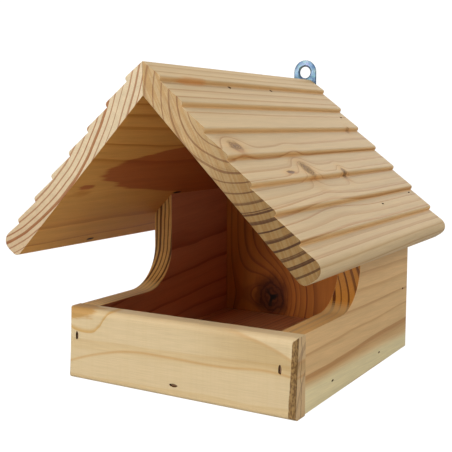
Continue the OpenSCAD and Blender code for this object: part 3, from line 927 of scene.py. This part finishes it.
# Painted shade along the foot of each step.
shade_valleys(right_roof_wood, 1)
down = slope_distance(right_roof_wood, 1)
stain(right_roof_wood, product(tree, fade(tree, down, *AGED_FROM), right_roof_wood["end"]), AGED_TINT)
old_rings = product(tree, fade(tree, down, *OLD_RING_FROM), right_roof_wood["cut_rings"],
                    right_roof_wood["end"])
cover(right_roof_wood, product(tree, old_rings, OLD_RING_STRENGTH), OLD_RING)
slanted = add(tree, "VectorRotate", {"Vector": place, "Angle": SAW_SLANT}, rotation_type="Y_AXIS").outputs[0]
saw_marks = fade(tree, speckle(tree, slanted, SAW_COUNT, 1.0), *SAW_EDGE)
stain(right_roof_wood, product(tree, saw_marks, right_roof_wood["end"]), SAW_TINT)
right_roof.data.materials.append(seal(right_roof_wood))
torn_slots(right_roof, "ridge_staples", (1, 0, 0), (0, 1, 0), 41)
torn_slots(right_roof, "right_roof_back_staple", roof_up(1), (0, 1, 0), 43)
torn_slots(right_roof, "right_roof_side_staples", roof_up(1), (0, 1, 0), 47)

left_roof = roof_board("left_roof_board", -1)
left_roof_wood = softwood(
    "left_roof_pine", pith=on_slope(-1, 0.081, 0, 0.152), grain=(0, 1, 0.008), across=slope_way(-1),
    ring=3.8 * MM, wander=3.5 * MM, pale=(0.6, 0.43, 0.22), late=(0.38, 0.18, 0.04),
    end_pale=(0.53, 0.42, 0.27), end_late=(0.27, 0.11, 0.04), seed=4.0, crisp=(0.15, 0.6))
# Painted shade along the foot of each step.
shade_valleys(left_roof_wood, -1)
# Painted shade on the underside of the left roof board, inside the box.
shade_inner_face(left_roof_wood, roof_down(-1), (0.95, 0.66, 0.3))
tree = left_roof_wood["tree"]
place = left_roof_wood["place"]
turn = left_roof_wood["turn"]
TONGUE_MIDDLE = 63 * MM
TONGUE_BLUNTNESS = 6.8 * MM
TONGUE_TIP = (0.103, 0.094)
TONGUE_WAVER = 35 * MM
DARK_FROM_BACK = (-0.05, 0.08)
TONGUE_TINT = (0.66, 0.4, 0.42)
SCAR_REACH = (0.009, 0.0025, 0.01)
CHIPS = ((0.0905, 0.007, (0.0065, 0.0013)), (0.131, -0.056, (0.0045, 0.0013)))
CHIP_COLOUR = (0.02, 0.011, 0.005)
LOW_END_TINT = (0.84, 0.76, 0.7)
LOW_END_FROM = (0.05, 0.14)
# A darker patch on the underside: a tongue round the middle of the slope, and the part towards the back.
waver = product(tree, maths(tree, "SUBTRACT", left_roof_wood["figure"]["Streak"], 0.5), TONGUE_WAVER)
along = maths(tree, "ADD", add(tree, "SeparateXYZ", {0: place}).outputs[1], waver)
apart = maths(tree, "SUBTRACT", slope_distance(left_roof_wood, -1), TONGUE_MIDDLE)
tongue = maths(tree, "DIVIDE", product(tree, apart, apart), TONGUE_BLUNTNESS)
tongue = maths(tree, "SUBTRACT", tongue, along)
dark_tongue = maths(tree, "MAXIMUM", fade(tree, tongue, *TONGUE_TIP), fade(tree, along, *DARK_FROM_BACK))
scar = patch(tree, place, on_slope(-1, 0.075, -0.105, 0), turn, SCAR_REACH, 0.4)
dark_tongue = maths(tree, "MAXIMUM", dark_tongue, scar)
stain(left_roof_wood, product(tree, dark_tongue, facing(tree, roof_down(-1), *INNER_FACE)), TONGUE_TINT)
for down, back, reach in CHIPS:
    chip = patch(tree, place, on_slope(-1, down, back, 0), turn, (*reach, 0.01), 0.4)
    cover(left_roof_wood, chip, CHIP_COLOUR)
low_end = fade(tree, slope_distance(left_roof_wood, -1), *LOW_END_FROM)
stain(left_roof_wood, product(tree, low_end, left_roof_wood["end"]), LOW_END_TINT)
left_roof.data.materials.append(seal(left_roof_wood))
torn_slots(left_roof, "left_roof_back_staple", roof_up(-1), (0, 1, 0), 53)
torn_slots(left_roof, "left_roof_side_staples", roof_up(-1), (0, 1, 0), 59)

for board, node in ((right_roof, "right_roof_board"), (left_roof, "left_roof_board")):
    finish_faces(board)
    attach(board, "root")
    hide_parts(node)


# ---- Hanger plate -------------------------------------------------------------------------
# A round-ended strap of 1.5 mm steel, zinc plated, screwed to the back. Its big hole stands over
# the ridge and is dished for the head of a hook; its rim is rolled over.
PLATE_WIDTH = 18.2 * MM
HOOK_HOLE = 8.6 * MM
SCREW_GAP = 16 * MM
SCREW_HOLE = 4 * MM
RIM_ROUND = 0.5 * MM
HOOK_DISH = 1.5 * MM
SCREW_DISH = 0.4 * MM
FRONT_DISH = 0.55
BACK_DISH = 0.3
BIT_OVERRUN = 0.5 * MM
low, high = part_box("hanger_plate")
plate_x = (low[0] + high[0]) / 2
hook_z = high[2] - PLATE_WIDTH / 2
lower_screw_z = low[2] + PLATE_WIDTH / 2
bpy.ops.object.select_all(action="DESELECT")
bpy.ops.mesh.primitive_circle_add(vertices=96, radius=PLATE_WIDTH / 2, fill_type="NGON",
                                  location=(plate_x, low[1], hook_z), rotation=(math.pi / 2, 0, 0))
plate = bpy.context.object
plate.name = "hanger_plate_zinc"
plate.data.name = "hanger_plate_zinc"
settle()
bpy.ops.object.mode_set(mode="EDIT")
pick(plate, "VERT", lambda co: co.z < hook_z - TOUCH)
bpy.ops.transform.translate(value=(0, 0, lower_screw_z - hook_z))
bpy.ops.mesh.select_all(action="SELECT")
bpy.ops.mesh.extrude_region_move(TRANSFORM_OT_translate={"value": (0, high[1] - low[1], 0)})
bpy.ops.mesh.select_all(action="SELECT")
bpy.ops.mesh.normals_make_consistent(inside=False)
bpy.ops.object.mode_set(mode="OBJECT")


def drill(z, width, dish):
    """A hole through the plate, dished on both faces."""
    for radius_front, radius_back, start, stop in (
            (width / 2, width / 2, low[1] - MARGIN, high[1] + MARGIN),
            (width / 2 + dish + BIT_OVERRUN, width / 2, low[1] - BIT_OVERRUN, low[1] + dish * FRONT_DISH),
            (width / 2, width / 2 + dish / 2 + BIT_OVERRUN, high[1] - dish * BACK_DISH,
             high[1] + BIT_OVERRUN)):
        bpy.ops.object.select_all(action="DESELECT")
        bpy.ops.mesh.primitive_cone_add(vertices=64, radius1=radius_back, radius2=radius_front,
                                        depth=stop - start, location=(plate_x, (start + stop) / 2, z),
                                        rotation=(math.pi / 2, 0, 0))
        bit = bpy.context.object
        settle()
        cut_away(plate, bit)


worked(plate, "BEVEL", width=RIM_ROUND, segments=4, limit_method="ANGLE", angle_limit=SQUARE_ENOUGH)
drill(hook_z, HOOK_HOLE, HOOK_DISH)
drill(lower_screw_z, SCREW_HOLE, SCREW_DISH)
drill(lower_screw_z + SCREW_GAP, SCREW_HOLE, SCREW_DISH)
DULL_ZINC = (0.045, 0.085, 0.13, 1)
BRIGHT_ZINC = (0.17, 0.24, 0.3, 1)
CLOUD_COUNT = (120, 120, 120)
CLOUD_EDGE = (0.35, 0.65)
ZINC_ROUGHNESS = (0.32, 0.52)
SCUFF_HEIGHT = 0.3 * MM
FLAKE_COUNT = 420.0
FLAKE_SHARE = 0.12
zinc = bpy.data.materials.new("zinc_plate")
zinc.use_nodes = True
tree = zinc.node_tree
zinc_shader = tree.nodes["Principled BSDF"].inputs
place = add(tree, "TexCoord").outputs["Object"]
cloud = speckle(tree, place, CLOUD_COUNT, 3.0)
flake = add(tree, "TexVoronoi", {"Vector": place, "Scale": FLAKE_COUNT}).outputs["Color"]
zinc_colour = blend(tree, fade(tree, cloud, *CLOUD_EDGE), DULL_ZINC, BRIGHT_ZINC)
tree.links.new(blend(tree, FLAKE_SHARE, zinc_colour, flake, "OVERLAY"), zinc_shader["Base Color"])
zinc_shader["Metallic"].default_value = 0.9
worn = add(tree, "MapRange", {0: cloud, 3: ZINC_ROUGHNESS[0], 4: ZINC_ROUGHNESS[1]}).outputs[0]
tree.links.new(worn, zinc_shader["Roughness"])
scuffs = add(tree, "Bump", {"Height": cloud, "Strength": 0.2, "Distance": SCUFF_HEIGHT})
tree.links.new(scuffs.outputs[0], zinc_shader["Normal"])
plate.data.materials.append(zinc)
finish_faces(plate)
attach(plate, "root")
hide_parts("hanger_plate")


# ---- Hanger screws ------------------------------------------------------------------------
# Two zinc-plated pan-head wood screws with a cross recess, driven through the plate into the back.
HEAD_RADIUS = 3.5 * MM
HEAD_HEIGHT = 2.2 * MM
SHANK_RADIUS = 1.75 * MM
SHANK_LENGTH = 13 * MM
TIP_LENGTH = 3 * MM
TIP_SHARE = 0.08
HEAD_ROUND = 1.3 * MM
RECESS_WIDTH = (0.5 * MM, 0.9 * MM)
RECESS_DEPTH = 2 * MM
RECESS_STRETCH = 3.2


def pan_head_screw(name, z, turned):
    """One screw along Y, its head against the plate's outer face, its cross turned by an angle."""
    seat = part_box("hanger_plate")[1][1]
    bpy.ops.object.select_all(action="DESELECT")
    bpy.ops.mesh.primitive_cylinder_add(vertices=48, radius=HEAD_RADIUS, depth=HEAD_HEIGHT,
                                        location=(plate_x, seat + HEAD_HEIGHT / 2, z),
                                        rotation=(math.pi / 2, 0, 0))
    screw = bpy.context.object
    screw.name = name
    screw.data.name = name
    settle()
    bpy.ops.object.mode_set(mode="EDIT")
    pick(screw, "EDGE", lambda co: co.y > seat + HEAD_HEIGHT / 2)
    bpy.ops.mesh.bevel(offset=HEAD_ROUND, segments=6, profile=0.5)
    pick(screw, "FACE", lambda co: co.y < seat + TOUCH)
    bpy.ops.mesh.inset(thickness=HEAD_RADIUS - SHANK_RADIUS)
    bpy.ops.mesh.extrude_region_move(TRANSFORM_OT_translate={"value": (0, TIP_LENGTH - SHANK_LENGTH, 0)})
    bpy.ops.mesh.extrude_region_move(TRANSFORM_OT_translate={"value": (0, -TIP_LENGTH, 0)})
    bpy.ops.transform.resize(value=(TIP_SHARE, 1, TIP_SHARE), center_override=(plate_x, 0, z))
    bpy.ops.object.mode_set(mode="OBJECT")
    for angle in (turned, turned + math.pi / 2):
        bpy.ops.object.select_all(action="DESELECT")
        bpy.ops.mesh.primitive_cone_add(vertices=4, radius1=RECESS_WIDTH[0], radius2=RECESS_WIDTH[1],
                                        depth=RECESS_DEPTH, rotation=(-math.pi / 2, 0, 0))
        blade = bpy.context.object
        blade.scale = (RECESS_STRETCH, 1, 1)
        settle()
        blade.rotation_euler = (0, angle, 0)
        blade.location = (plate_x, seat + HEAD_HEIGHT, z)
        settle()
        cut_away(screw, blade)
    return screw


for name, z, turned in (("upper_hanger_screw", lower_screw_z + SCREW_GAP, 0.5),
                        ("lower_hanger_screw", lower_screw_z, 1.1)):
    screw = pan_head_screw(name + "_zinc", z, turned)
    screw.data.materials.clear()
    screw.data.materials.append(zinc)
    finish_faces(screw)
    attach(screw, "root")
    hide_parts(name)


# ---- Staples ------------------------------------------------------------------------------
# Narrow-crown staples of galvanised wire, sunk a millimetre below the wood. Their shape is the
# CAD model's; only their crowns show, at the bottom of the torn slots, coloured dark brown as
# painted shade.
# Dark brown wire: painted shade for the bottom of the slots.
SHADED_WIRE_DARK = (0.1, 0.045, 0.02, 1)
SHADED_WIRE_PALE = (0.28, 0.15, 0.07, 1)
WIRE_COUNT = (700, 700, 700)
WIRE_ROUGHNESS = (0.35, 0.6)
wire = bpy.data.materials.new("staple_wire")
wire.use_nodes = True
tree = wire.node_tree
wire_shader = tree.nodes["Principled BSDF"].inputs
dull = speckle(tree, add(tree, "TexCoord").outputs["Object"], WIRE_COUNT, 3.0)
tree.links.new(blend(tree, dull, SHADED_WIRE_DARK, SHADED_WIRE_PALE), wire_shader["Base Color"])
wire_shader["Metallic"].default_value = 0.3
uneven = add(tree, "MapRange", {0: dull, 3: WIRE_ROUGHNESS[0], 4: WIRE_ROUGHNESS[1]}).outputs[0]
tree.links.new(uneven, wire_shader["Roughness"])
for name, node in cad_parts.items():
    if "staple" in name:
        node.data.materials.clear()
        node.data.materials.append(wire)


# ---- The studio ---------------------------------------------------------------------------
# A pale floor and an even white room, a big soft lamp to the front left with a low one beside it,
# and weaker ones to the right and behind. Seen directly, floor and room are nearly plain white.
FLOOR_WIDTH = 12.0
FLOOR_GREY = (0.6, 0.6, 0.6, 1)
FLOOR_GLOW = 1.12
FLOOR_GLOW_SHARE = 0.93
LAMP_AIM = (0.0, 0.0, 0.08)
ROOM_LIGHT = 0.2
ROOM_GLINT = 0.5
ROOM_SEEN = 1.1
scene.view_settings.view_transform = "Standard"
bpy.ops.object.select_all(action="DESELECT")
bpy.ops.mesh.primitive_plane_add(size=FLOOR_WIDTH, location=(0.0, 0.0, 0.0))
floor = bpy.context.object
floor.name = "floor"
floor_paint = bpy.data.materials.new("white_floor")
floor_paint.use_nodes = True
tree = floor_paint.node_tree
tree.nodes["Principled BSDF"].inputs["Base Color"].default_value = FLOOR_GREY
tree.nodes["Principled BSDF"].inputs["Roughness"].default_value = 0.9
glow = add(tree, "Emission", {"Color": (1, 1, 1, 1), "Strength": FLOOR_GLOW})
seen = product(tree, add(tree, "LightPath").outputs["Is Camera Ray"], FLOOR_GLOW_SHARE)
lit = add(tree, "MixShader", {0: seen, 1: tree.nodes["Principled BSDF"].outputs[0], 2: glow.outputs[0]})
tree.links.new(lit.outputs[0], tree.nodes["Material Output"].inputs["Surface"])
floor.data.materials.append(floor_paint)


for name, place, size, power in (("key_lamp", (-0.75, -1.5, 1.6), 1.0, 38.0),
                                 ("low_lamp", (-0.6, -1.7, 0.5), 0.6, 12.0),
                                 ("right_lamp", (1.7, -0.3, 1.1), 1.0, 13.0),
                                 ("back_lamp", (0.3, 1.8, 1.2), 1.2, 12.0)):
    lamp_data = bpy.data.lights.new(name, "AREA")
    lamp_data.size = size
    lamp_data.energy = power
    lamp = bpy.data.objects.new(name, lamp_data)
    lamp.location = place
    lamp.rotation_euler = (Vector(LAMP_AIM) - Vector(place)).to_track_quat("-Z", "Y").to_euler()
    scene.collection.objects.link(lamp)

room = bpy.data.worlds.new("room")
room.use_nodes = True
scene.world = room
tree = room.node_tree
sight = add(tree, "LightPath").outputs
brightness = maths(tree, "ADD", product(tree, sight["Is Glossy Ray"], ROOM_GLINT), ROOM_LIGHT)
brightness = maths(tree, "MAXIMUM", brightness, product(tree, sight["Is Camera Ray"], ROOM_SEEN))
tree.nodes["Background"].inputs["Color"].default_value = (1.0, 1.0, 1.0, 1)
tree.links.new(brightness, tree.nodes["Background"].inputs["Strength"])
